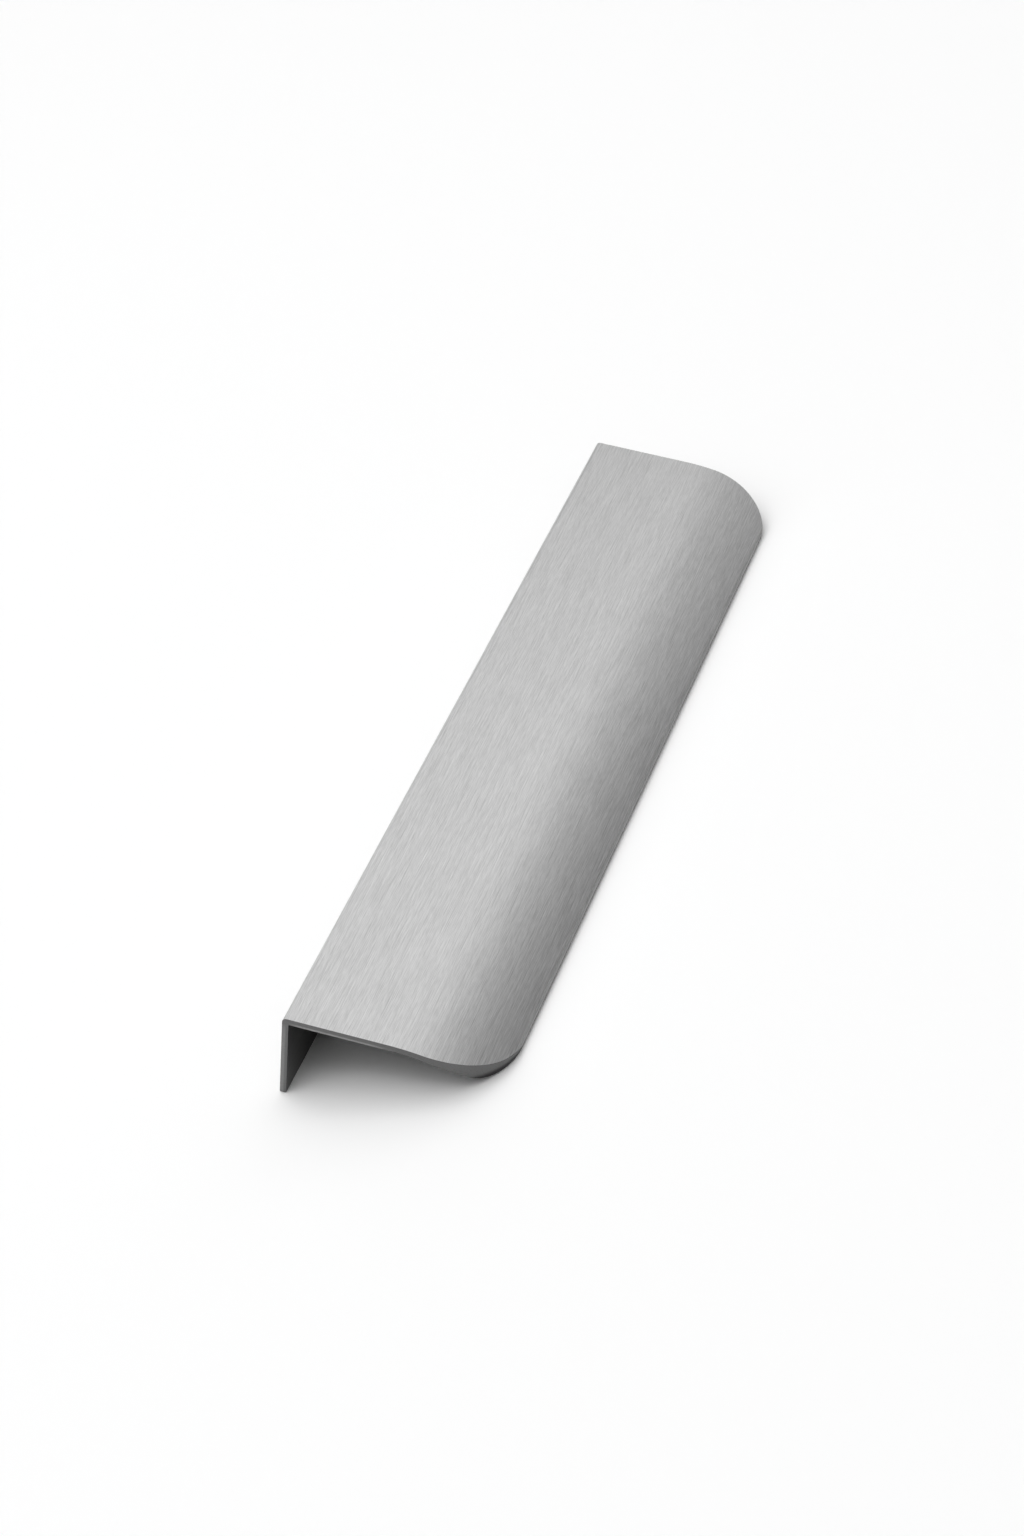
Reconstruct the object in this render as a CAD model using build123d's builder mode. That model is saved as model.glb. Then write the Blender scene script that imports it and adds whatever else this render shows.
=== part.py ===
from build123d import *
from math import asin, atan2, cos, degrees, hypot, radians, sin
import os

# Driving dimensions, in millimetres and degrees.
# The section is measured with the plate level: across from the flange's rear face,
# and down from the plate's top face.
length = 200.0            # along the edge that the pull sits on
depth = 41.1              # from the flange's rear face to the tip of the lip
flange_height = 17.8      # from the plate's top face to the flange's foot
wall = 1.25               # plate and flange
bend_radius = 0.9         # outside of the corner between plate and flange

lip_width = 21.1          # from where the top face starts to curve down, to the tip
lip_radius = 49.5         # of that long curve
nose_radius = 1.0         # of the tip itself
nose_angle = 11.0         # slope at which the tip's round meets the belly below it
belly_radius = 7.3        # of the thick underside of the lip
hollow_angle = 33.5       # slope at which the belly meets the hollow behind it

corner_radius = 14.8      # plan rounding of the two front corners
corner_softening = 2.6    # rounding under those corners, where the lip is thickest
softening_drop = 0.05     # from the level of the nose's centre down to that rounding

screw_spacing = 160.0     # between the two holes in the flange
screw_drop = 10.0         # from the plate's top face to the holes
screw_hole_radius = 1.8
screw_head_radius = 2.5   # of the countersink, on the flange's rear face
screw_head_angle = 90.0

# Where the lip starts, and the centres of the round stretches at its front
lip_start = depth - lip_width
lip_angle = degrees(asin((lip_width - nose_radius) / (lip_radius - nose_radius)))
nose_centre = (
    depth - nose_radius,
    (lip_radius - nose_radius) * cos(radians(lip_angle)) - lip_radius,
)
belly_centre = (
    nose_centre[0] - (belly_radius - nose_radius) * sin(radians(nose_angle)),
    nose_centre[1] + (belly_radius - nose_radius) * cos(radians(nose_angle)),
)
block_floor = nose_centre[1] - softening_drop - corner_softening


def slope_to(point, centre, radius):
    """Slope, in degrees, of the line from a point that just touches a circle's lower side."""
    across = centre[0] - point[0]
    up = centre[1] - point[1]
    return degrees(atan2(up, across) - asin(radius / hypot(across, up)))


# Unheld, the pull rests like a tent on the flange's foot and the underside of the lip.
# The line that touches both is the floor.
foot = (wall, -flange_height)
rest_tilt = slope_to(foot, belly_centre, belly_radius)
if rest_tilt > nose_angle:
    rest_tilt = slope_to(foot, nose_centre, nose_radius)
rest_cos = cos(radians(rest_tilt))
rest_sin = sin(radians(rest_tilt))

# The origin is on the floor, under the middle of the tilted pull.
rear_reach = -flange_height * rest_sin
front_reach = nose_centre[0] * rest_cos + nose_centre[1] * rest_sin + nose_radius
plate_origin = Vector(
    -(rear_reach + front_reach) / 2,
    0,
    foot[0] * rest_sin - foot[1] * rest_cos,
)
across_plate = Vector(rest_cos, 0, -rest_sin)
plate_plane = Plane(origin=plate_origin, x_dir=across_plate, z_dir=(rest_sin, 0, rest_cos))
section_plane = Plane(origin=plate_origin, x_dir=across_plate, z_dir=(0, -1, 0))
flange_plane = Plane(origin=plate_origin, x_dir=(0, -1, 0), z_dir=-across_plate)

# The block that the bar is cut to: the plan outline with its two round front corners,
# square to the plate and softened along its lower edge, with room behind for the flange
with BuildPart() as outline_block:
    with BuildSketch(plate_plane.offset(block_floor)) as plan:
        with Locations((depth / 2, 0)):
            Rectangle(depth, length)
        fillet(plan.vertices().group_by(Axis.X)[-1], corner_radius)
    extrude(amount=flange_height)
    underside = outline_block.faces().sort_by(Axis(plate_origin, plate_plane.z_dir))[0]
    fillet(underside.edges(), corner_softening)
    with BuildSketch(plate_plane):
        with Locations((lip_start / 2, 0)):
            Rectangle(lip_start, length)
    extrude(amount=flange_height, both=True)

with BuildPart() as edge_pull:
    # The drawn section: flange, bend, plate, lip, nose, belly, hollow and back
    with BuildSketch(section_plane):
        with BuildLine():
            rear = Line((0, -flange_height), (0, -bend_radius))
            bend = JernArc(rear @ 1, rear % 1, bend_radius, -90)
            plate = Line(bend @ 1, (lip_start, 0))
            lip = JernArc(plate @ 1, plate % 1, lip_radius, -lip_angle)
            nose = JernArc(lip @ 1, lip % 1, nose_radius, lip_angle + nose_angle - 180)
            belly = JernArc(nose @ 1, nose % 1, belly_radius, -nose_angle - hollow_angle)
            hollow_radius = (-wall - (belly @ 1).Y) / (1 - cos(radians(hollow_angle)))
            hollow = JernArc(belly @ 1, belly % 1, hollow_radius, hollow_angle)
            Polyline(hollow @ 1, (wall, -wall), foot, rear @ 0)
        make_face()
    extrude(amount=length / 2, both=True)

    # The outline block takes away the two front corners
    add(outline_block.part, mode=Mode.INTERSECT)

    # Two countersunk screw holes, sunk from the flange's rear face
    with Locations(flange_plane):
        with Locations((-screw_spacing / 2, -screw_drop), (screw_spacing / 2, -screw_drop)):
            CounterSinkHole(
                radius=screw_hole_radius,
                counter_sink_radius=screw_head_radius,
                depth=wall,
                counter_sink_angle=screw_head_angle,
            )

edge_pull.part.label = "edge_pull"

os.makedirs("parts", exist_ok=True)
export_step(edge_pull.part, "parts/edge_pull.step")
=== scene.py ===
"""An edge pull in brushed metal: one extruded piece, lying unheld on a pale floor in soft light."""
import logging
import math
from dataclasses import dataclass, field
from enum import Enum

import bmesh
import bpy
import numpy as np
from mathutils import Matrix, Vector


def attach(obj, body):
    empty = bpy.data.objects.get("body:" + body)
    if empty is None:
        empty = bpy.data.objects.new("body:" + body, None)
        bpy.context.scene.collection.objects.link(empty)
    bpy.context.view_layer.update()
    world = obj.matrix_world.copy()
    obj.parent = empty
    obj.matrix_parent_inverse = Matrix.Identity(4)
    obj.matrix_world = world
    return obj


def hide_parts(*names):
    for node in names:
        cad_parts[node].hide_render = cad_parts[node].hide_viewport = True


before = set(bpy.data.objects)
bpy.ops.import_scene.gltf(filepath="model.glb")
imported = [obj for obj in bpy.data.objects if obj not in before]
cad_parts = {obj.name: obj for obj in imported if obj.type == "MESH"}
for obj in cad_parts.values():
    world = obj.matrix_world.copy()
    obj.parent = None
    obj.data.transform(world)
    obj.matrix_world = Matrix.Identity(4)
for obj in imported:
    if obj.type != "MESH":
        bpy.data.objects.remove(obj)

log = logging.getLogger("edge pull")

MM = 0.001
Pair = tuple[float, float]
Triple = tuple[float, float, float]
Tree = bpy.types.NodeTree
Socket = bpy.types.NodeSocket


class Face(Enum):
    """The pull's three finishes. The inside's dark grey is painted shade; the cut ends' is part real,
    part painted shade.
    """

    BRUSHED = 0
    INSIDE = 1
    CUT = 2


@dataclass(frozen=True)
class Stretch:
    """Part of a section: points (n, 2) in millimetres and their outward normals (n, 2)."""

    points: np.ndarray
    normals: np.ndarray

    def run(self) -> np.ndarray:
        """Distance walked along the points, from 0 at the first."""
        gaps = np.linalg.norm(np.diff(self.points, axis=0), axis=1)
        return np.concatenate([[0.0], np.cumsum(gaps)])


def straight(start: Pair, stop: Pair, normal: Pair, cells: int) -> Stretch:
    """Divides a straight stretch evenly: start + (stop - start) * t, without its last point.

    Args:
        start: First point, across and up.
        stop: Last point, which the next stretch begins with.
        normal: Outward normal of the whole stretch.
        cells: Number of cells.

    Returns:
        The stretch.
    """
    t = (np.arange(cells) / cells)[:, None]
    points = np.array(start) + t * (np.array(stop) - np.array(start))
    return Stretch(points, np.tile(np.array(normal, float), (cells, 1)))


def round_stretch(centre: Pair, radius: float, start: float, stop: float, cells: int,
                  hollow: bool = False, last: bool = False) -> Stretch:
    """Divides an arc evenly: centre + radius * (cos a, sin a), with a from start to stop.

    Args:
        centre: Centre of the arc.
        radius: Its radius.
        start: First angle in degrees, from across towards up.
        stop: Last angle in degrees.
        cells: Number of cells.
        hollow: The metal is outside the arc, so the normal points at the centre.
        last: Keeps the last point too.

    Returns:
        The stretch.
    """
    a = np.radians(start + (stop - start) * np.arange(cells + (1 if last else 0)) / cells)
    ray = np.stack([np.cos(a), np.sin(a)], axis=1)
    return Stretch(np.array(centre) + radius * ray, -ray if hollow else ray)


def join(stretches: list[Stretch]) -> Stretch:
    """Puts stretches one after the other."""
    return Stretch(np.concatenate([s.points for s in stretches]),
                   np.concatenate([s.normals for s in stretches]))


def step(value: np.ndarray, start: float, stop: float) -> np.ndarray:
    """Rises smoothly from 0 at start to 1 at stop: 3 t^2 - 2 t^3."""
    t = np.clip((value - start) / (stop - start), 0.0, 1.0)
    return t * t * (3.0 - 2.0 * t)


def over(values: np.ndarray, grid: np.ndarray) -> np.ndarray:
    """Repeats one value for each row over all the columns of a grid."""
    return np.broadcast_to(values[:, None], grid.shape)


@dataclass(frozen=True)
class Patch:
    """A surface of two parameters on a grid, with its grain coordinates in millimetres.

    The cells in keep are made. The painted light mask is painted shade up to 1 where the colour is
    darkened most, and painted highlight below 0 where it is brightened.
    """

    points: np.ndarray
    normals: np.ndarray
    grain: np.ndarray
    face: Face
    keep: np.ndarray | None = None
    painted_light: np.ndarray | None = None

    def cells(self) -> np.ndarray:
        """Numbers the corners of every kept cell of the grid.

        Returns:
            Array (cells, 4) of point numbers within the patch.
        """
        rows, columns = self.points.shape[:2]
        number = np.arange(rows * columns).reshape(rows, columns)
        quads = np.stack([number[:-1, :-1], number[1:, :-1], number[1:, 1:], number[:-1, 1:]], axis=-1)
        return quads[self.keep] if self.keep is not None else quads.reshape(-1, 4)

    def painted_light_values(self) -> np.ndarray:
        """One value of the painted light mask for each point."""
        count = self.points.shape[0] * self.points.shape[1]
        return np.zeros(count) if self.painted_light is None else self.painted_light.reshape(-1)


@dataclass(frozen=True)
class PullSection:
    """The section of the pull with its plate level, in millimetres and degrees.

    Across is measured from the rear face of the flange, up from the top face of the plate. The foot
    and the inner corner have a small round. A window is the square of the flange that a screw hole
    is set in, and its middle and half height are given here. The last values are numbers of cells.
    """

    depth: float = 41.1
    flange_height: float = 17.8
    wall: float = 1.25
    bend_radius: float = 0.9
    lip_width: float = 21.1
    lip_radius: float = 49.5
    nose_radius: float = 1.0
    nose_angle: float = 11.0
    belly_radius: float = 7.3
    hollow_angle: float = 33.5
    foot_round: float = 0.1
    inner_round: float = 0.25
    window_middle: float = -10.0
    window_half: float = 4.0

    foot_cells: int = 4
    low_cells: int = 3
    window_cells: int = 10
    high_cells: int = 4
    bend_cells: int = 8
    plate_cells: int = 14
    lip_cells: int = 40
    nose_cells: int = 12

    @property
    def lip_start(self) -> float:
        """Where the top face starts to curve down."""
        return self.depth - self.lip_width

    @property
    def lip_angle(self) -> float:
        """Slope of the top face where it meets the nose, in degrees."""
        sine = (self.lip_width - self.nose_radius) / (self.lip_radius - self.nose_radius)
        return math.degrees(math.asin(sine))

    @property
    def nose_centre(self) -> Pair:
        """Centre of the round at the tip, which the lip's long curve runs into smoothly.

        Returns:
            The centre, across and up.
        """
        reach = self.lip_radius - self.nose_radius
        up = reach * math.cos(math.radians(self.lip_angle)) - self.lip_radius
        return self.depth - self.nose_radius, up

    @property
    def belly_centre(self) -> Pair:
        """Centre of the thick underside, on the line through the nose's centre.

        Returns:
            The centre, across and up.
        """
        a = math.radians(self.nose_angle)
        reach = self.belly_radius - self.nose_radius
        return self.nose_centre[0] - reach * math.sin(a), self.nose_centre[1] + reach * math.cos(a)

    @property
    def window_row(self) -> int:
        """Number of the section's first cell that lies in a window."""
        return self.foot_cells + self.low_cells

    def flange(self, across: float, facing: float, top: float) -> list[Stretch]:
        """Runs up one face of the flange, with the windows' cells as a stretch of their own.

        Args:
            across: Where the face is.
            facing: -1 for the rear face, 1 for the inner one.
            top: How high it goes.

        Returns:
            The stretches below, at and above the windows.
        """
        low, high = self.window_middle - self.window_half, self.window_middle + self.window_half
        ups = (self.foot_round - self.flange_height, low, high, top)
        cells = (self.low_cells, self.window_cells, self.high_cells)
        return [straight((across, start), (across, stop), (facing, 0.0), count)
                for start, stop, count in zip(ups[:-1], ups[1:], cells)]

    def outer(self) -> Stretch:
        """Runs from the foot up the flange, round the bend and over the top to the tip.

        Returns:
            The outer side of the section.
        """
        f, r, slope = self.foot_round, self.bend_radius, 90 - self.lip_angle
        return join([
            round_stretch((f, f - self.flange_height), f, 270, 180, self.foot_cells),
            *self.flange(0.0, -1.0, -r),
            round_stretch((r, -r), r, 180, 90, self.bend_cells),
            straight((r, 0), (self.lip_start, 0), (0, 1), self.plate_cells),
            round_stretch((self.lip_start, -self.lip_radius), self.lip_radius, 90, slope, self.lip_cells),
            round_stretch(self.nose_centre, self.nose_radius, slope, 0, self.nose_cells, last=True),
        ])

    def inner(self) -> Stretch:
        """Runs from the foot up inside the flange and under the plate to the tip.

        It has as many points as the outer side, so that the two can be joined across the wall. The
        hollow and the belly each have half as many cells as the lip's top.

        Returns:
            The inner side, which ends in the same point as the outer one.
        """
        f, c, w, half = self.foot_round, self.inner_round, self.wall, self.lip_cells // 2
        a = math.radians(self.hollow_angle)
        meet = (self.belly_centre[0] - self.belly_radius * math.sin(a),
                self.belly_centre[1] - self.belly_radius * math.cos(a))
        radius = (-w - meet[1]) / (1 - math.cos(a))
        start = meet[0] - radius * math.sin(a)
        return join([
            round_stretch((w - f, f - self.flange_height), f, 270, 360, self.foot_cells),
            *self.flange(w, 1.0, -w - c),
            round_stretch((w + c, -w - c), c, 180, 90, self.bend_cells, hollow=True),
            straight((w + c, -w), (start, -w), (0, -1), self.plate_cells),
            round_stretch((start, -w - radius), radius, 90, 90 - self.hollow_angle, half, hollow=True),
            round_stretch(self.belly_centre, self.belly_radius, 270 - self.hollow_angle,
                          270 + self.nose_angle, half),
            round_stretch(self.nose_centre, self.nose_radius, 270 + self.nose_angle, 360,
                          self.nose_cells, last=True),
        ])

    def foot(self, cells: int) -> Stretch:
        """Crosses the flange's foot from the outer side's first point to the inner side's.

        Args:
            cells: Number of cells.

        Returns:
            The foot, with the points at both of its ends.
        """
        f, h = self.foot_round, self.flange_height
        flat = straight((f, -h), (self.wall - f, -h), (0, -1), cells)
        last = Stretch(np.array([(self.wall - f, -h)]), np.array([(0.0, -1.0)]))
        return join([flat, last])

    def rest(self) -> Triple:
        """Finds how the pull lies: the floor touches the foot's corner and the lip from below.

        The tilt is the slope of the line from the foot that just touches the lip's lower side:
        slope of the way to a circle's centre - asin(radius / distance). That circle is the belly's,
        or the nose's where the line is steeper than the place where the two meet.

        Returns:
            Tilt in degrees, and the place of the plate's rear top edge across and up.
        """
        foot = (self.wall, -self.flange_height)
        rounds = ((self.belly_centre, self.belly_radius), (self.nose_centre, self.nose_radius))
        for centre, radius in rounds:
            across, up = centre[0] - foot[0], centre[1] - foot[1]
            tilt = math.atan2(up, across) - math.asin(radius / math.hypot(across, up))
            if math.degrees(tilt) <= self.nose_angle:
                break
        c, s = math.cos(tilt), math.sin(tilt)
        rear = -self.flange_height * s
        front = self.nose_centre[0] * c + self.nose_centre[1] * s + self.nose_radius
        return math.degrees(tilt), -(rear + front) / 2, foot[0] * s - foot[1] * c


@dataclass(frozen=True)
class EndPaintedLight:
    """Where a cut end is darker or brighter than plain.

    Each pair says where a fade starts and where it is complete. Lengths are in millimetres. The
    two sides are shares of the way across the wall, from 0 outside to 1 inside.

    It has painted shade downwards under the lip, where the end draws in. It has a painted
    highlight on the rear half of the flange's end and in a thin line along the lower edge of the
    plate's end, which fades where the lip starts.
    """

    shade_below_nose: Pair = (-0.6, 0.5)
    flange_top: Pair = (-2.6, -1.4)
    flange_side: Pair = (0.4, 0.7)
    flange_highlight_share: float = 0.6
    highlight_line_start: Pair = (1.8, 3.2)
    highlight_line_past_lip: Pair = (-4.0, 1.0)
    highlight_line_side: Pair = (0.62, 0.75)

    def mask(self, section: PullSection, flat: np.ndarray, k: np.ndarray) -> np.ndarray:
        """The painted light mask of a cut end.

        Args:
            section: The section of the pull.
            flat: Places on the end, across and up, row by row across the wall.
            k: Share of the way from the outer to the inner side.

        Returns:
            The mask, from -1 for the brightest painted highlight to 1 for the darkest painted shade.
        """
        across, up = flat[..., 0], flat[..., 1]
        lip_start, nose = section.lip_start, section.nose_centre[1]
        # Painted shade on the end below the nose's centre.
        painted_shade = np.where(across > lip_start, step(nose - up, *self.shade_below_nose), 0.0)
        # Painted highlight on the rear half of the flange's end, below the plate.
        flange = np.where(across < lip_start, 1.0 - step(up, *self.flange_top), 0.0)
        flange = self.flange_highlight_share * flange * (1.0 - step(k, *self.flange_side))
        # Painted highlight: a thin bright line along the lower edge of the plate's end.
        line = step(across, *self.highlight_line_start) * (1.0 - step(across - lip_start, *self.highlight_line_past_lip))
        return painted_shade - flange - line * step(k, *self.highlight_line_side)


@dataclass(frozen=True)
class EdgePull:
    """The whole pull: the section carried along its length, two cut ends and two screw holes.

    Sizes are in millimetres and degrees. The rim is the tiny round between a side and a cut end,
    and the hole rim the one at both ends of a hole. The nose's round gets painted shade where the
    upward part of the normal falls from the first to the second value of tip_shade_fade. The last
    values are numbers of cells: across a rim, across a wall, across each ring and rim of a hole,
    and along the length between the holes' windows, from the middle, and beyond them.
    """

    section: PullSection = field(default_factory=PullSection)
    end_painted_light: EndPaintedLight = field(default_factory=EndPaintedLight)
    length: float = 200.0
    corner_radius: float = 14.8
    softening: float = 2.6
    softening_drop: float = 0.05
    screw_spacing: float = 160.0
    hole_radius: float = 1.8
    head_radius: float = 2.5
    head_slope: float = 45.0
    rim: float = 0.06
    hole_rim: float = 0.1
    tip_shade_fade: Pair = (0.84, 0.62)

    rim_cells: int = 5
    wall_cells: int = 12
    hole_cells: int = 4
    middle_cells: int = 20
    outer_cells: int = 8

    def half_length(self, across: np.ndarray, inset: np.ndarray) -> np.ndarray:
        """Half the length of the plan outline, moved inwards by an inset.

        Straight as far as the corner's centre, and from there on a quarter of a circle:
        length / 2 - corner + sqrt((corner - inset)^2 - (across - centre)^2).

        Args:
            across: Distance from the flange's rear face.
            inset: How far inside the outline.

        Returns:
            The half length at each point.
        """
        centre = self.section.depth - self.corner_radius
        beyond = np.maximum(across - centre, 0.0)
        reach = np.sqrt(np.maximum((self.corner_radius - inset) ** 2 - beyond ** 2, 0.0))
        return self.length / 2 - self.corner_radius + reach

    def corner_turn(self, across: np.ndarray, inset: np.ndarray) -> np.ndarray:
        """Sine of the angle by which the outline has turned round the corner at a point."""
        centre = self.section.depth - self.corner_radius
        return np.clip(np.maximum(across - centre, 0.0) / (self.corner_radius - inset), 0.0, 1.0)

    def softened(self, across: np.ndarray, up: np.ndarray,
                 margin: float) -> tuple[np.ndarray, np.ndarray]:
        """How far the cut end, or a surface a margin inside it, has drawn in below the lip.

        The end is square to the plate down to the level of the nose's centre. Below that it is a
        quarter round of radius R: sine of its lean = (level - up) / (R - margin), and
        inset = R - (R - margin) * cosine. Behind the lip it stays square all the way down.

        Args:
            across: Distance from the flange's rear face.
            up: Height above the plate's top face.
            margin: Distance inside the end.

        Returns:
            The inset, and the sine of the angle by which the end leans down.
        """
        level = self.section.nose_centre[1] - self.softening_drop
        fall = np.where(across > self.section.lip_start, np.maximum(level - up, 0.0), 0.0)
        sine = np.clip(fall / (self.softening - margin), 0.0, 1.0)
        return self.softening - (self.softening - margin) * np.sqrt(1.0 - sine ** 2), sine

    def end_normal(self, turn: np.ndarray, lean: np.ndarray, end: int) -> np.ndarray:
        """Normal of a cut end: (turn, +-sqrt(1 - turn^2), 0) tipped down by the angle of the lean."""
        level = np.sqrt(1.0 - lean ** 2)
        return np.stack([level * turn, end * level * np.sqrt(1.0 - turn ** 2), -lean], axis=-1)

    def tip_painted_shade(self, across: np.ndarray, facing: np.ndarray) -> np.ndarray:
        """Painted shade on the tip's round, which darkens it as it turns down from the top face.

        Its lower half, the belly and the hollow stay at 0. The tip's own line, which both sides
        share, counts as part of the upper half.

        Args:
            across: Distance from the flange's rear face.
            facing: Upward part of the normal.

        Returns:
            The mask, from 0 to 1.
        """
        almost_level = -0.01
        start, stop = self.tip_shade_fade
        on_nose = (across > self.section.depth - self.section.nose_radius) & (facing >= almost_level)
        return np.where(on_nose, step(-facing, -start, -stop), 0.0)

    def stations(self) -> np.ndarray:
        """Divides the length, with lines at the edges of the holes' windows.

        Returns:
            Shares of the half length, from -1 at the near end to 1 at the far end.
        """
        half = self.length / 2 - self.rim
        middle, window = self.screw_spacing / 2, self.section.window_half
        inner = np.linspace(0.0, middle - window, self.middle_cells + 1)[:-1]
        hole = np.linspace(middle - window, middle + window, self.section.window_cells + 1)[:-1]
        outer = np.linspace(middle + window, half, self.outer_cells + 1)
        one = np.concatenate([inner, hole, outer])
        return np.concatenate([-one[:0:-1], one]) / half

    def skin(self, side: Stretch, face: Face, windows: bool = True) -> Patch:
        """The long surface of one side: (across(s), t * half length(s), up(s)) for s and t.

        Args:
            side: The outer or inner side of the section, or the foot.
            face: How it is finished.
            windows: Leaves out the cells round the two holes.

        Returns:
            The patch.
        """
        centre = side.points - self.rim * side.normals
        inset, _ = self.softened(centre[:, 0], centre[:, 1], self.rim)
        y = self.half_length(centre[:, 0], inset)[:, None] * self.stations()[None, :]
        points = np.stack([over(side.points[:, 0], y), y, over(side.points[:, 1], y)], axis=-1)
        normals = np.stack([over(side.normals[:, 0], y), np.zeros_like(y),
                            over(side.normals[:, 1], y)], axis=-1)
        grain = np.stack([over(side.run(), y), y], axis=-1)
        keep = np.ones((y.shape[0] - 1, y.shape[1] - 1), bool)
        if windows:
            first = self.section.window_row
            middle = np.abs(y[first, :-1] + y[first, 1:]) / 2
            hole = np.abs(middle - self.screw_spacing / 2) < self.section.window_half
            keep[first:first + self.section.window_cells, hole] = False
        # Painted shade on the nose's round, carried in the painted light mask.
        painted_light = over(self.tip_painted_shade(side.points[:, 0], side.normals[:, 1]), y)
        return Patch(points, normals, grain, face, keep, painted_light)

    def end_frame(self, side: Stretch, end: int) -> tuple[np.ndarray, np.ndarray, np.ndarray]:
        """Where a small ball would roll along the edge between a side and a cut end.

        The ball's centre lies one radius inside both surfaces.

        Args:
            side: The outer or inner side of the section.
            end: -1 for the near end, 1 for the far end.

        Returns:
            Centres, normals of the side, and normals of the end.
        """
        flat = side.points - self.rim * side.normals
        inset, lean = self.softened(flat[:, 0], flat[:, 1], self.rim)
        centre = np.stack([flat[:, 0], end * self.half_length(flat[:, 0], inset), flat[:, 1]], axis=1)
        turn = self.corner_turn(flat[:, 0], inset)
        side_normal = np.stack([side.normals[:, 0], np.zeros_like(turn), side.normals[:, 1]], axis=1)
        return centre, side_normal, self.end_normal(turn, lean, end)

    def end_rim(self, side: Stretch, end: int) -> Patch:
        """The rounded edge between a side and a cut end: centre + radius * direction.

        The direction turns evenly from the side's normal to the end's:
        (sin((1 - k) w) a + sin(k w) b) / sin w, where w is the angle between a and b. Where that
        angle is almost nothing, it is (1 - k) a + k b.

        Args:
            side: The outer or inner side of the section, or the foot.
            end: -1 for the near end, 1 for the far end.

        Returns:
            The patch.
        """
        almost_nothing = 1e-4
        centre, a, b = self.end_frame(side, end)
        w = np.arccos(np.clip((a * b).sum(axis=1), -1.0, 1.0))[:, None, None]
        a, b = a[:, None], b[:, None]
        k = np.linspace(0.0, 1.0, self.rim_cells + 1)[None, :, None]
        wide = w > almost_nothing
        safe = np.where(wide, w, 1.0)
        turned = (np.sin((1 - k) * safe) * a + np.sin(k * safe) * b) / np.sin(safe)
        direction = np.where(wide, turned, (1 - k) * a + k * b)
        direction /= np.linalg.norm(direction, axis=2, keepdims=True)
        points = centre[:, None] + self.rim * direction
        y = points[..., 1]
        # The rim takes the cut end's grey, part of which is painted shade.
        return Patch(points, direction, np.stack([over(side.run(), y), y], axis=-1), Face.CUT)

    def end_wall(self, outer: Stretch, inner: Stretch, end: int) -> Patch:
        """The cut end: outer and inner side joined straight across, and lifted onto the plan outline.

        Args:
            outer: Outer side of the section.
            inner: Inner side, point for point across the wall from the outer.
            end: -1 for the near end, 1 for the far end.

        Returns:
            The patch.
        """
        spots = []
        for side in (outer, inner):
            centre, _, normal = self.end_frame(side, end)
            spots.append((centre + self.rim * normal)[:, [0, 2]])
        k = np.linspace(0.0, 1.0, self.wall_cells + 1)[None, :, None]
        flat = (1 - k) * spots[0][:, None] + k * spots[1][:, None]
        inset, lean = self.softened(flat[..., 0], flat[..., 1], 0.0)
        half = self.half_length(flat[..., 0], inset)
        turn = self.corner_turn(flat[..., 0], inset)
        points = np.stack([flat[..., 0], end * half, flat[..., 1]], axis=-1)
        normals = self.end_normal(turn, lean, end)
        grain = np.stack([flat[..., 1], flat[..., 0] + self.corner_radius * np.arcsin(turn)], axis=-1)
        return Patch(points, normals, grain, Face.CUT,
                     painted_light=self.end_painted_light.mask(self.section, flat, k[..., 0]))

    def window(self) -> np.ndarray:
        """Walks once round a hole's square window, corner by corner, back to the first point.

        Returns:
            Places along and up, from the hole's axis.
        """
        n, half = self.section.window_cells, self.section.window_half
        walk = np.linspace(-half, half, n + 1)[:-1]
        edge = np.full(n, half)
        sides = ((walk, -edge), (edge, walk), (-walk, edge), (-edge, -walk))
        square = np.concatenate([np.stack(side, axis=1) for side in sides])
        return np.concatenate([square, square[:1]])

    def rays(self) -> np.ndarray:
        """Directions from a hole's axis to the points of its window."""
        return self.window() / np.linalg.norm(self.window(), axis=1, keepdims=True)

    def ring(self, place: float, level: float, radius: float, facing: float, face: Face) -> Patch:
        """Fills a window with a flat ring whose points go straight from the square to a circle.

        Args:
            place: Where the hole is along the length.
            level: Which face of the flange it lies in, across.
            radius: Radius of the circle.
            facing: -1 for the rear face, 1 for the inner one.
            face: How it is finished.

        Returns:
            The patch.
        """
        s = self.section
        k = np.linspace(0.0, 1.0, self.hole_cells + 1)[None, :, None]
        flat = (1 - k) * self.window()[:, None] + k * radius * self.rays()[:, None]
        across = np.full(flat.shape[:2], level)
        points = np.stack([across, place + flat[..., 0], s.window_middle + flat[..., 1]], axis=-1)
        normals = np.zeros_like(points)
        normals[..., 0] = facing
        run = s.foot_round * (math.pi / 2 - 1.0) + s.flange_height + points[..., 2]
        return Patch(points, normals, np.stack([run, points[..., 1]], axis=-1), face)

    def turned(self, place: float, profile: Stretch) -> Patch:
        """Turns a profile of radius and depth about the axis of a hole.

        Args:
            place: Where the hole is along the length.
            profile: The profile, whose depth counts from the flange's rear face.

        Returns:
            The patch.
        """
        ray = self.rays()
        radius, level = profile.points[:, :1], profile.points[:, 1]
        out, along = profile.normals[:, :1], profile.normals[:, 1]
        y, z = radius * ray[:, 0], radius * ray[:, 1]
        points = np.stack([over(level, y), place + y, self.section.window_middle + z], axis=-1)
        normals = np.stack([over(along, y), out * ray[:, 0], out * ray[:, 1]], axis=-1)
        angle = np.unwrap(np.arctan2(ray[:, 1], ray[:, 0]))
        around = np.broadcast_to(self.hole_radius * angle, y.shape)
        return Patch(points, normals, np.stack([over(level, y), around], axis=-1), Face.CUT)

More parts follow.
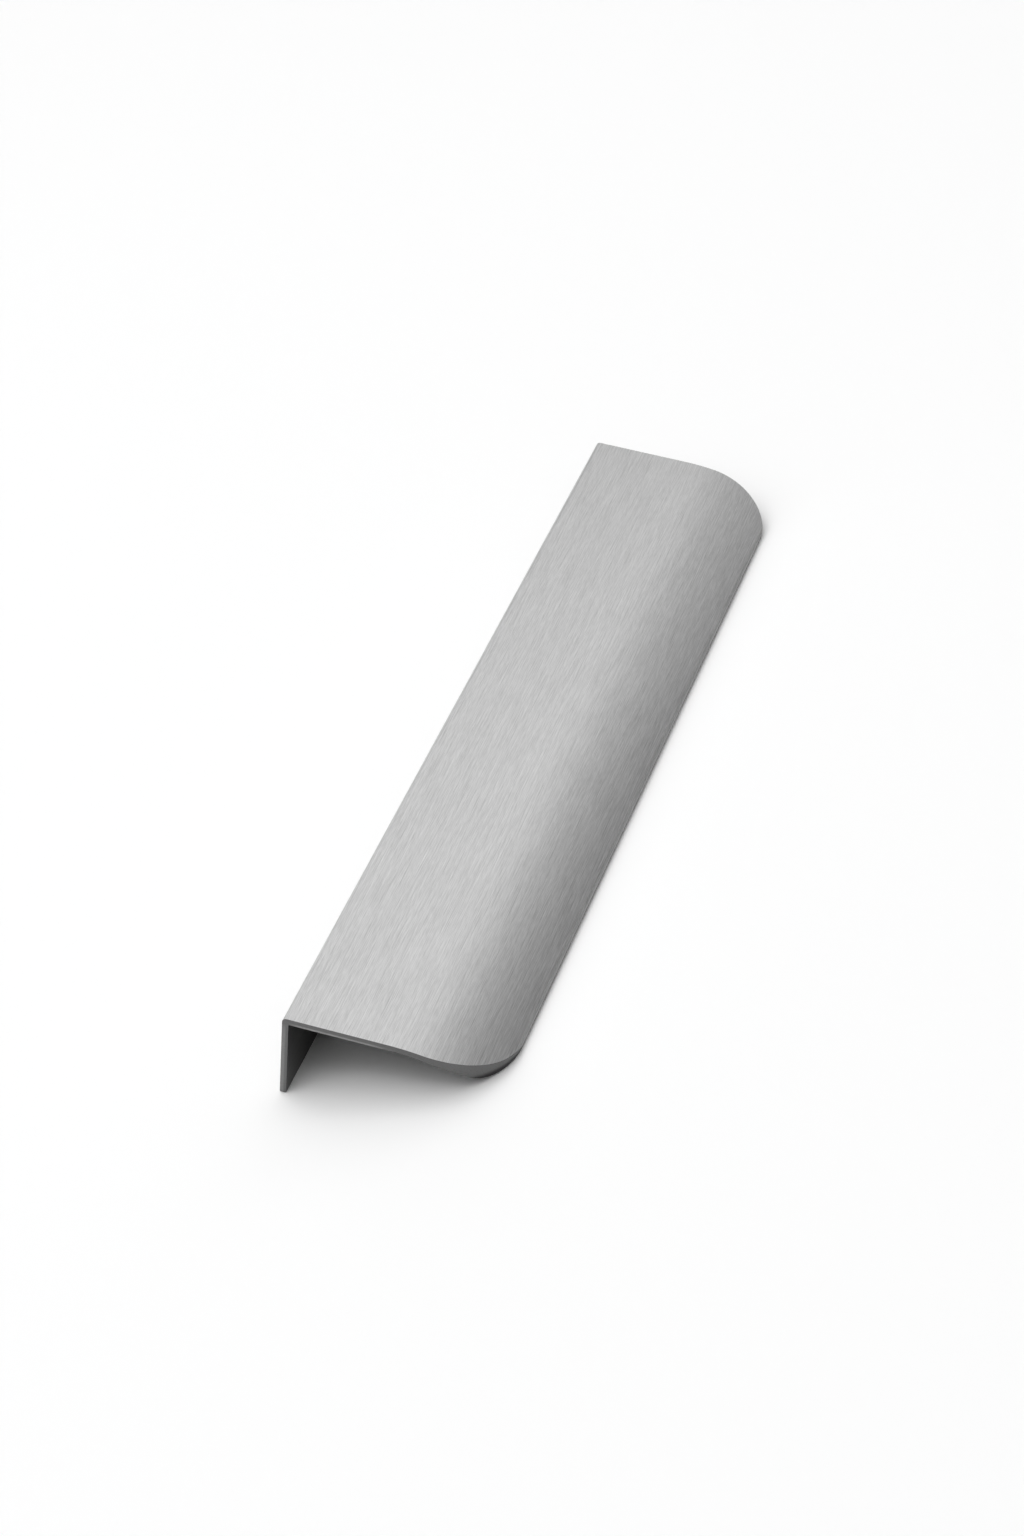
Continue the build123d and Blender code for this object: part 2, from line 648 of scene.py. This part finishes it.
    def hole(self, place: float) -> list[Patch]:
        """A countersunk hole in the flange, sunk from its rear face.

        Its profile is a rounded rim, the countersink's cone, the bore, and a rounded rim inside. A
        rim of radius e between surfaces that turn by an angle a begins e * tan(a / 2) before the edge.

        Args:
            place: Where the hole is along the length.

        Returns:
            The two rings and the turned surfaces.
        """
        e, wall = self.hole_rim, self.section.wall
        a = math.radians(self.head_slope)
        head = self.head_radius + e * math.tan(a / 2)
        deep = (self.head_radius - self.hole_radius) * math.tan(a)
        top = round_stretch((head, e), e, 270, 270 - self.head_slope, self.hole_cells, last=True)
        low = round_stretch((self.hole_radius + e, wall - e), e, 180, 90, self.hole_cells, last=True)
        slope = (-math.sin(a), -math.cos(a))
        cone = Stretch(np.array([top.points[-1], (self.hole_radius, deep)]), np.array([slope, slope]))
        bore = Stretch(np.array([(self.hole_radius, deep), low.points[0]]),
                       np.array([(-1.0, 0.0), (-1.0, 0.0)]))
        rings = [self.ring(place, 0.0, head, -1.0, Face.BRUSHED),
                 self.ring(place, wall, self.hole_radius + e, 1.0, Face.INSIDE)]
        return rings + [self.turned(place, part) for part in (top, cone, bore, low)]

    def patches(self) -> list[Patch]:
        """Makes every surface of the pull, with its plate level.

        Returns:
            The long sides and the foot, both cut ends with their rims, and both holes.
        """
        outer, inner = self.section.outer(), self.section.inner()
        foot = self.section.foot(self.wall_cells)
        made = [self.skin(outer, Face.BRUSHED), self.skin(inner, Face.INSIDE),
                self.skin(foot, Face.CUT, windows=False)]
        for end in (-1, 1):
            made += [self.end_rim(side, end) for side in (outer, inner, foot)]
            made.append(self.end_wall(outer, inner, end))
        for place in (-self.screw_spacing / 2, self.screw_spacing / 2):
            made += self.hole(place)
        return made

    def weld(self, mesh: bpy.types.Mesh) -> None:
        """Joins the points that the patches share, and reports what is left open.

        Args:
            mesh: The mesh, which is changed in place.
        """
        near = 2e-7
        shell = bmesh.new()
        shell.from_mesh(mesh)
        bmesh.ops.remove_doubles(shell, verts=shell.verts, dist=near)
        bmesh.ops.recalc_face_normals(shell, faces=shell.faces)
        open_edges = sum(1 for edge in shell.edges if not edge.is_manifold)
        shell.to_mesh(mesh)
        shell.free()
        log.info("pull: %d faces, %d open or shared edges", len(mesh.polygons), open_edges)

    def mesh(self) -> bpy.types.Mesh:
        """Puts all patches into one closed mesh, laid down as the pull rests.

        Returns:
            The mesh, with the grain as a UV map, one material number a face, and exact normals.
        """
        made = self.patches()
        counts = np.array([p.points.shape[0] * p.points.shape[1] for p in made])
        starts = np.concatenate([[0], np.cumsum(counts)[:-1]])
        cells = np.concatenate([p.cells() + at for p, at in zip(made, starts)])
        kinds = np.concatenate([np.full(len(p.cells()), p.face.value) for p in made])
        points = np.concatenate([p.points.reshape(-1, 3) for p in made])
        normals = np.concatenate([p.normals.reshape(-1, 3) for p in made])
        grain = np.concatenate([p.grain.reshape(-1, 2) for p in made])
        painted_light = np.concatenate([p.painted_light_values() for p in made])

        tilt, across, up = self.section.rest()
        c, s = math.cos(math.radians(tilt)), math.sin(math.radians(tilt))
        turn = np.array([[c, 0.0, s], [0.0, 1.0, 0.0], [-s, 0.0, c]])
        placed = (points @ turn.T + np.array([across, 0.0, up])) * MM
        turned = normals @ turn.T

        mesh = bpy.data.meshes.new("edge_pull")
        mesh.from_pydata(placed.tolist(), [], cells.tolist())
        mesh.polygons.foreach_set("material_index", kinds.astype(np.int32))
        corners = cells.reshape(-1)
        places = mesh.uv_layers.new(name="grain")
        places.data.foreach_set("uv", grain[corners].astype(np.float32).ravel())
        # The painted light mask: painted shade where it is positive, painted highlight where negative.
        mask = mesh.attributes.new("painted_light", "FLOAT", "CORNER")
        mask.data.foreach_set("value", painted_light[corners].astype(np.float32))
        hint = mesh.attributes.new("true_normal", "FLOAT_VECTOR", "CORNER")
        hint.data.foreach_set("vector", turned[corners].astype(np.float32).ravel())
        self.weld(mesh)

        mesh.shade_smooth()
        kept = np.empty(len(mesh.loops) * 3, np.float32)
        mesh.attributes["true_normal"].data.foreach_get("vector", kept)
        mesh.normals_split_custom_set(kept.reshape(-1, 3))
        mesh.attributes.remove(mesh.attributes["true_normal"])
        return mesh

    def make(self, finishes: dict[Face, "MetalFinish"], streaks: Tree) -> bpy.types.Object:
        """Builds the piece and dresses it.

        Args:
            finishes: The finish of each kind of face.
            streaks: The node group that all finishes share.

        Returns:
            The piece, riding on the root body in place of the plain solid.
        """
        piece = bpy.data.objects.new("brushed_edge_pull", self.mesh())
        bpy.context.scene.collection.objects.link(piece)
        for kind in Face:
            piece.data.materials.append(finishes[kind].material(streaks))
        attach(piece, "root")
        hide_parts("edge_pull")
        return piece


@dataclass(frozen=True)
class NoiseLayer:
    """One noise of the brush marks, at (u, v, 0) * stretch + shift * (1, 2.3, 0.7).

    The stretch is how many cells of the noise there are to a mark, across and along. The shift
    keeps the layers from lining up. The detail says how many finer noises it carries.
    """

    stretch: Pair
    shift: float
    detail: float = 1.0
    roughness: float = 0.6

    def add(self, tree: Tree, at: Socket) -> Socket:
        """Adds the noise to a group.

        Args:
            tree: The group that it goes into.
            at: Grain coordinates, counted in marks.

        Returns:
            The noise's output, from 0 to 1.
        """
        moved = tree.nodes.new("ShaderNodeVectorMath")
        moved.operation = "MULTIPLY_ADD"
        moved.inputs[1].default_value = (*self.stretch, 1.0)
        moved.inputs[2].default_value = (self.shift, 2.3 * self.shift, 0.7 * self.shift)
        noise = tree.nodes.new("ShaderNodeTexNoise")
        noise.inputs["Scale"].default_value = 1.0
        noise.inputs["Detail"].default_value = self.detail
        noise.inputs["Roughness"].default_value = self.roughness
        tree.links.new(at, moved.inputs[0])
        tree.links.new(moved.outputs["Vector"], noise.inputs["Vector"])
        return noise.outputs["Fac"]


def staggered(tree: Tree, at: Socket, share: float) -> Socket:
    """Shifts every mark along the grain against the one beside it: (u, v + share * u, 0).

    Without it the marks of a noise begin and end in rows across the grain.

    Args:
        tree: The group that it goes into.
        at: Grain coordinates, counted in marks.
        share: The shift from one mark to the next, as a share of a mark's length.

    Returns:
        The shifted coordinates.
    """
    parts = tree.nodes.new("ShaderNodeSeparateXYZ")
    shift = tree.nodes.new("ShaderNodeMath")
    shift.operation = "MULTIPLY_ADD"
    shift.inputs[1].default_value = share
    whole = tree.nodes.new("ShaderNodeCombineXYZ")
    tree.links.new(at, parts.inputs["Vector"])
    tree.links.new(parts.outputs["X"], shift.inputs[0])
    tree.links.new(parts.outputs["Y"], shift.inputs[2])
    tree.links.new(parts.outputs["X"], whole.inputs["X"])
    tree.links.new(shift.outputs["Value"], whole.inputs["Y"])
    return whole.outputs["Vector"]


def divided(tree: Tree, at: Socket, size: Socket) -> Socket:
    """Divides coordinates by a size.

    Args:
        tree: The group that it goes into.
        at: The coordinates.
        size: What they are divided by.

    Returns:
        The coordinates, counted in that size.
    """
    node = tree.nodes.new("ShaderNodeVectorMath")
    node.operation = "DIVIDE"
    tree.links.new(at, node.inputs[0])
    tree.links.new(size, node.inputs[1])
    return node.outputs["Vector"]


def spread(tree: Tree, value: Socket, low: float, high: float, smooth: bool = False) -> Socket:
    """Stretches the values between low and high over 0 to 1.

    Args:
        tree: The group that it goes into.
        value: The value.
        low: What becomes 0, with all that is below it.
        high: What becomes 1, with all that is above it.
        smooth: Rises in a smooth step, and not in a straight line.

    Returns:
        The new value.
    """
    node = tree.nodes.new("ShaderNodeMapRange")
    node.interpolation_type = "SMOOTHSTEP" if smooth else "LINEAR"
    node.inputs["From Min"].default_value = low
    node.inputs["From Max"].default_value = high
    tree.links.new(value, node.inputs["Value"])
    return node.outputs["Result"]


def mixed(tree: Tree, share: float, one: Socket, other: Socket) -> Socket:
    """Mixes two values: (1 - share) * one + share * other.

    Args:
        tree: The group that it goes into.
        share: How much of the other value there is in the mix.
        one: The first value.
        other: The other value.

    Returns:
        The mix.
    """
    node = tree.nodes.new("ShaderNodeMix")
    node.data_type = "FLOAT"
    node.inputs["Factor"].default_value = share
    tree.links.new(one, node.inputs["A"])
    tree.links.new(other, node.inputs["B"])
    return node.outputs["Result"]


@dataclass(frozen=True)
class BrushMarks:
    """Fine marks that run along the second grain coordinate.

    Four noises are stretched along the grain: hairlines as wide as a mark, flecks a fifth as long,
    bands of about three marks, and broad bands of about ten. They are mixed in one after the other
    by the shares given, which makes
    marks = 0.56 hairlines + 0.3 flecks + 0.1 bands + 0.04 broad bands.
    Scratches are the rare peaks of a fifth noise, and clouds are a soft noise that is only twice
    as long as wide.
    """

    hairlines: NoiseLayer = NoiseLayer((1.0, 1.0), 0.0)
    flecks: NoiseLayer = NoiseLayer((0.7, 5.0), 61.7)
    bands: NoiseLayer = NoiseLayer((0.33, 0.5), 17.3)
    broad: NoiseLayer = NoiseLayer((0.1, 0.3), 31.9)
    rare: NoiseLayer = NoiseLayer((1.1, 0.9), 47.1, detail=0.0)
    soft: NoiseLayer = NoiseLayer((1.0, 0.5), 5.9, detail=2.0)
    flecks_share: float = 0.35
    bands_share: float = 0.105
    broad_share: float = 0.04
    mark_stagger: float = 0.38
    fleck_stagger: float = 0.06
    marks_range: Pair = (0.3, 0.7)
    rare_range: Pair = (0.6, 0.72)

    def group(self) -> Tree:
        """Builds the node group that all finishes share.

        Returns:
            The group. Every output goes from 0 to 1.
        """
        tree = bpy.data.node_groups.new("brush marks", "ShaderNodeTree")
        tree.interface.new_socket(name="Grain", in_out="INPUT", socket_type="NodeSocketVector")
        for name in ("Mark width", "Mark length", "Cloud size"):
            tree.interface.new_socket(name=name, in_out="INPUT", socket_type="NodeSocketFloat")
        for name in ("Marks", "Scratches", "Clouds", "Height"):
            tree.interface.new_socket(name=name, in_out="OUTPUT", socket_type="NodeSocketFloat")
        given, out = tree.nodes.new("NodeGroupInput"), tree.nodes.new("NodeGroupOutput")
        size = tree.nodes.new("ShaderNodeCombineXYZ")
        tree.links.new(given.outputs["Mark width"], size.inputs["X"])
        tree.links.new(given.outputs["Mark length"], size.inputs["Y"])
        size.inputs["Z"].default_value = 1.0

        in_marks = divided(tree, given.outputs["Grain"], size.outputs["Vector"])
        in_clouds = divided(tree, given.outputs["Grain"], given.outputs["Cloud size"])
        in_flecks = staggered(tree, in_marks, self.fleck_stagger)
        in_marks = staggered(tree, in_marks, self.mark_stagger)

        hairlines = self.hairlines.add(tree, in_marks)
        marks = mixed(tree, self.flecks_share, hairlines, self.flecks.add(tree, in_flecks))
        marks = mixed(tree, self.bands_share, marks, self.bands.add(tree, in_marks))
        marks = mixed(tree, self.broad_share, marks, self.broad.add(tree, in_marks))
        rare, soft = self.rare.add(tree, in_marks), self.soft.add(tree, in_clouds)
        outputs = {
            "Marks": spread(tree, marks, *self.marks_range),
            "Scratches": spread(tree, rare, *self.rare_range, smooth=True),
            "Clouds": spread(tree, soft, *self.marks_range),
            "Height": hairlines,
        }
        for name, value in outputs.items():
            tree.links.new(value, out.inputs[name])
        return tree


@dataclass(frozen=True)
class MetalFinish:
    """One finish of the metal: its colour, how it shines, and how its marks show.

    Marks, clouds and the depth of the relief are in millimetres. The swings are the whole way from
    the darkest to the brightest mark, as a share of the colour or in roughness. The scratch depth
    and the cloud swing are the shares of the light that are lost there. The painted light loss is
    the share taken off under the full painted light mask, which paints shade where the mask is
    positive and a highlight where it is negative.
    """

    name: str
    grey: float
    roughness: float
    metallic: float = 1.0
    anisotropy: float = 0.0
    mark_width: float = 0.11
    mark_length: float = 10.0
    cloud_size: float = 5.0
    tone_swing: float = 0.55
    cloud_swing: float = 0.02
    scratch_depth: float = 0.14
    painted_light_loss: float = 0.58
    roughness_swing: float = 0.1
    depth: float = 0.002

    def toned(self, factor: float) -> tuple[float, float, float, float]:
        """The colour made lighter or darker by a factor."""
        tone = min(1.0, self.grey * factor)
        return tone, tone, tone, 1.0

    def shade(self, tree: Tree, colour: Socket, mask: Socket, loss: float) -> Socket:
        """Darkens a colour under a mask: colour * (1 - loss * mask).

        Args:
            tree: The material's nodes.
            colour: The colour so far.
            mask: Where it darkens, from 0 to 1. Below 0 it brightens.
            loss: The share of the light that is lost under the full mask.

        Returns:
            The new colour.
        """
        factor = tree.nodes.new("ShaderNodeMapRange")
        factor.clamp = False
        factor.inputs["To Min"].default_value = 1.0
        factor.inputs["To Max"].default_value = 1.0 - loss
        darker = tree.nodes.new("ShaderNodeVectorMath")
        darker.operation = "SCALE"
        tree.links.new(mask, factor.inputs["Value"])
        tree.links.new(colour, darker.inputs[0])
        tree.links.new(factor.outputs["Result"], darker.inputs["Scale"])
        return darker.outputs["Vector"]

    def marks(self, tree: Tree, streaks: Tree) -> bpy.types.Node:
        """Places the shared group of marks on the piece's own grain map, with this finish's sizes.

        Args:
            tree: The material's nodes.
            streaks: The shared group of brush marks.

        Returns:
            The placed group.
        """
        grain = tree.nodes.new("ShaderNodeUVMap")
        grain.uv_map = "grain"
        marks = tree.nodes.new("ShaderNodeGroup")
        marks.node_tree = streaks
        marks.inputs["Mark width"].default_value = self.mark_width
        marks.inputs["Mark length"].default_value = self.mark_length
        marks.inputs["Cloud size"].default_value = self.cloud_size
        tree.links.new(grain.outputs["UV"], marks.inputs["Grain"])
        return marks

    def colouring(self, tree: Tree, marks: bpy.types.Node) -> Socket:
        """Colours the metal by its marks, clouds and scratches, and paints shade and highlight from the
        painted light mask.

        Args:
            tree: The material's nodes.
            marks: The placed group of marks.

        Returns:
            The colour.
        """
        dark_input, light_input, colour_output = 6, 7, 2
        streaked = tree.nodes.new("ShaderNodeMix")
        streaked.data_type = "RGBA"
        streaked.inputs[dark_input].default_value = self.toned(1.0 - self.tone_swing / 2)
        streaked.inputs[light_input].default_value = self.toned(1.0 + self.tone_swing / 2)
        tree.links.new(marks.outputs["Marks"], streaked.inputs["Factor"])
        # The painted light attribute paints shade on the nose and the cut ends, and highlights on the cut
        # ends.
        painted_light = tree.nodes.new("ShaderNodeAttribute")
        painted_light.attribute_name = "painted_light"
        colour = streaked.outputs[colour_output]
        for mask, loss in ((marks.outputs["Clouds"], self.cloud_swing),
                           (marks.outputs["Scratches"], self.scratch_depth),
                           (painted_light.outputs["Fac"], self.painted_light_loss)):
            colour = self.shade(tree, colour, mask, loss)
        return colour

    def material(self, streaks: Tree) -> bpy.types.Material:
        """Makes the material.

        Args:
            streaks: The shared group of brush marks.

        Returns:
            A procedural material that reads the piece's own grain map.
        """
        made = bpy.data.materials.new(self.name)
        made.use_nodes = True
        tree = made.node_tree
        nodes, links = tree.nodes, tree.links
        nodes.clear()
        out = nodes.new("ShaderNodeOutputMaterial")
        shader = nodes.new("ShaderNodeBsdfPrincipled")
        links.new(shader.outputs["BSDF"], out.inputs["Surface"])
        shader.inputs["Metallic"].default_value = self.metallic
        shader.inputs["Anisotropic"].default_value = self.anisotropy

        marks = self.marks(tree, streaks)
        links.new(self.colouring(tree, marks), shader.inputs["Base Color"])

        rough = nodes.new("ShaderNodeMapRange")
        rough.inputs["To Min"].default_value = self.roughness - self.roughness_swing / 2
        rough.inputs["To Max"].default_value = self.roughness + self.roughness_swing / 2
        links.new(marks.outputs["Marks"], rough.inputs["Value"])
        links.new(rough.outputs["Result"], shader.inputs["Roughness"])

        bump = nodes.new("ShaderNodeBump")
        bump.inputs["Distance"].default_value = self.depth * MM
        bump.inputs["Strength"].default_value = 1.0
        links.new(marks.outputs["Height"], bump.inputs["Height"])
        links.new(bump.outputs["Normal"], shader.inputs["Normal"])
        if self.anisotropy:
            tangent = nodes.new("ShaderNodeTangent")
            tangent.direction_type = "UV_MAP"
            tangent.uv_map = "grain"
            links.new(tangent.outputs["Tangent"], shader.inputs["Tangent"])
        return made


@dataclass(frozen=True)
class Lamp:
    """A soft rectangular lamp that hangs on a dome over the pull and faces a point, in metres.

    The azimuth is the angle round the pull, 0 beyond its far end and 90 on the lip's side, and the
    elevation the angle above the floor, in degrees. The level is how bright the lamp's surface is,
    where 1 is white. Nearer is its distance as a share of the dome's radius.
    """

    name: str
    azimuth: float
    elevation: float
    size: Pair
    level: float
    nearer: float = 1.0
    aim: Triple = (0.0, 0.0, 0.0)

    def place(self, dome: float) -> Triple:
        """Where the lamp's middle is.

        Args:
            dome: Radius of the dome.

        Returns:
            The place, in metres.
        """
        a, e = math.radians(self.azimuth), math.radians(self.elevation)
        reach = dome * self.nearer
        return reach * math.cos(e) * math.sin(a), reach * math.cos(e) * math.cos(a), reach * math.sin(e)

    def hang(self, dome: float) -> bpy.types.Object:
        """Hangs the lamp, out of the camera's sight.

        Its power is level * pi * area, so that its surface shines at the level given.

        Args:
            dome: Radius of the dome.

        Returns:
            The lamp.
        """
        data = bpy.data.lights.new(self.name, "AREA")
        data.shape = "RECTANGLE"
        data.size, data.size_y = self.size
        data.energy = self.level * math.pi * self.size[0] * self.size[1]
        made = bpy.data.objects.new(self.name, data)
        made.location = self.place(dome)
        made.visible_camera = False
        way = Vector(self.aim) - Vector(self.place(dome))
        made.rotation_euler = way.to_track_quat("-Z", "Y").to_euler()
        bpy.context.scene.collection.objects.link(made)
        return made


@dataclass(frozen=True)
class Studio:
    """A pale floor and plain soft light, in metres."""

    floor_half: float = 6.0
    floor_grey: float = 0.96
    floor_roughness: float = 0.9
    floor_shine: float = 0.1
    world_level: float = 0.2
    dome: float = 1.6

    def floor(self) -> bpy.types.Object:
        """Lays the floor under the pull.

        Returns:
            The floor.
        """
        h = self.floor_half
        mesh = bpy.data.meshes.new("floor")
        mesh.from_pydata([(-h, -h, 0), (h, -h, 0), (h, h, 0), (-h, h, 0)], [], [(0, 1, 2, 3)])
        made = bpy.data.objects.new("floor", mesh)
        bpy.context.scene.collection.objects.link(made)
        paint = bpy.data.materials.new("pale floor")
        paint.use_nodes = True
        shader = paint.node_tree.nodes["Principled BSDF"]
        grey = self.floor_grey
        shader.inputs["Base Color"].default_value = (grey, grey, grey, 1.0)
        shader.inputs["Roughness"].default_value = self.floor_roughness
        shader.inputs["Specular IOR Level"].default_value = self.floor_shine
        mesh.materials.append(paint)
        return made

    def world(self) -> None:
        """Gives the world one plain level."""
        world = bpy.data.worlds.new("soft room")
        world.use_nodes = True
        world.node_tree.nodes["Background"].inputs["Color"].default_value = (1.0, 1.0, 1.0, 1.0)
        world.node_tree.nodes["Background"].inputs["Strength"].default_value = self.world_level
        bpy.context.scene.world = world

    def light(self) -> None:
        """Hangs the lamps."""
        lamps = (
            Lamp("far lamp", -20.0, 54.0, (1.5, 1.4), 0.77),
            Lamp("small far lamp", 17.6, 32.7, (0.4, 0.7), 0.37, nearer=0.61, aim=(0.0, 0.1, 0.0)),
            Lamp("low lamp", -41.0, 15.0, (0.7, 0.7), 0.75),
            Lamp("lip side lamp", 90.0, 44.0, (2.0, 1.2), 0.43),
            Lamp("flange side lamp", 270.0, 44.0, (2.0, 1.2), 0.8),
            Lamp("near lamp", 180.0, 50.0, (2.2, 1.0), 0.97),
            Lamp("top lamp", 180.0, 86.0, (1.8, 1.8), 1.2),
        )
        for lamp in lamps:
            lamp.hang(self.dome)
        log.info("%d lamps are in place", len(lamps))


@dataclass(frozen=True)
class PhotoCamera:
    """The photograph's view: place in metres, the way it looks in degrees, and its lens."""

    place: Triple = (0.28127, -0.60192, 0.42819)
    azimuth: float = 25.6574
    elevation: float = 32.5797
    roll: float = -14.4766
    focal_pixels: float = 3971.9
    long_side_pixels: float = 1536.0
    sensor_width: float = 36.0
    clip_start: float = 0.01

    def make(self) -> bpy.types.Object:
        """Sets up the camera and makes it the scene's own.

        Returns:
            The camera.
        """
        data = bpy.data.cameras.new("camera")
        data.sensor_fit = "AUTO"
        data.sensor_width = self.sensor_width
        data.lens = self.sensor_width * self.focal_pixels / self.long_side_pixels
        data.clip_start = self.clip_start
        made = bpy.data.objects.new("camera", data)
        turn = (Matrix.Rotation(math.radians(self.azimuth), 4, "Z")
                @ Matrix.Rotation(math.radians(90.0 - self.elevation), 4, "X")
                @ Matrix.Rotation(math.radians(self.roll), 4, "Z"))
        made.matrix_world = Matrix.Translation(self.place) @ turn
        bpy.context.scene.collection.objects.link(made)
        bpy.context.scene.camera = made
        return made


def main() -> None:
    """Builds the camera, the pull, the floor and the light."""
    logging.basicConfig(level=logging.INFO, format="%(name)s: %(message)s")
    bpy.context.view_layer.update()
    bpy.context.scene.view_settings.view_transform = "Standard"
    PhotoCamera().make()

    finishes = {
        # The brushed face's painted light loss darkens its nose with painted shade.
        Face.BRUSHED: MetalFinish("brushed face", 0.62, 0.34, anisotropy=0.6),
        # The inside's dark grey is painted shade for the shade under the plate and inside the flange.
        Face.INSIDE: MetalFinish("inside with painted shade", 0.13, 0.42, mark_width=0.6, mark_length=30.0,
                                 tone_swing=0.1),
        # The cut ends' dark grey is partly a duller sawn finish and partly painted shade.
        Face.CUT: MetalFinish("cut end", 0.165, 0.5, mark_width=0.15, mark_length=0.6, tone_swing=0.2,
                              roughness_swing=0.06, painted_light_loss=0.8),
    }
    pull = EdgePull().make(finishes, BrushMarks().group())
    log.info("%s: %d points", pull.name, len(pull.data.vertices))

    studio = Studio()
    studio.floor()
    studio.world()
    studio.light()


if __name__ == "__main__":
    main()
